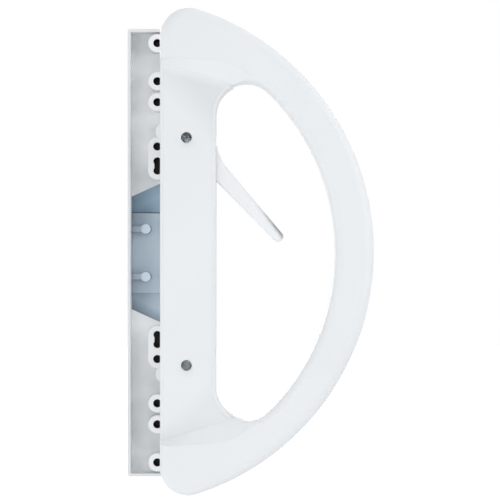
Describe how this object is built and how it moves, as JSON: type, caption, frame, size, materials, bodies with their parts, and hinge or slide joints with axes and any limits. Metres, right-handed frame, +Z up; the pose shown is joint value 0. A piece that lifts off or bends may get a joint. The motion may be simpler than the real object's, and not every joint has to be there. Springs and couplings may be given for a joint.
{
  "type": "sliding patio door handle",
  "caption": "White sliding patio door handle set: a D-shaped pull loop on a slim hollow plate, with a swinging latch lever inside the loop, and a hollow finger pull for the door's outer face.",
  "frame": {"origin": "midway between the two mounting screw holes, in the plane where the inner plate seats on the door's room face", "axes": "+X from the screw line towards the pull loop, +Y through the door to the outside, +Z up along the plate"},
  "size_m": [0.1119, 0.0822, 0.214],
  "materials": {
    "white_handle": "satin white coating on a die casting",
    "white_lever": "satin white coating on a die casting",
    "white_pull": "satin white coating, thinner inside the hollow",
    "bush_plastic": "natural moulded plastic",
    "spring_steel": "dark spring steel",
    "plated_steel": "bright zinc plating"
  },
  "bodies": {
    "handle": {"interior_handle": "white_handle", "retainer_plate": "plated_steel", "retainer_screws": "plated_steel", "exterior_pull": "white_pull", "mounting_posts": "plated_steel"},
    "lever": {"latch_lever": "white_lever", "pivot_bush": "bush_plastic", "tailpiece": "plated_steel", "friction_washer": "spring_steel"}
  },
  "joints": [
    {"name": "lever_turn", "type": "hinge", "parent": "handle", "child": "lever", "pos_m": [0, 0, 0.0388], "axis": [0, -1, 0], "range_deg": [0, 40]}
  ]
}
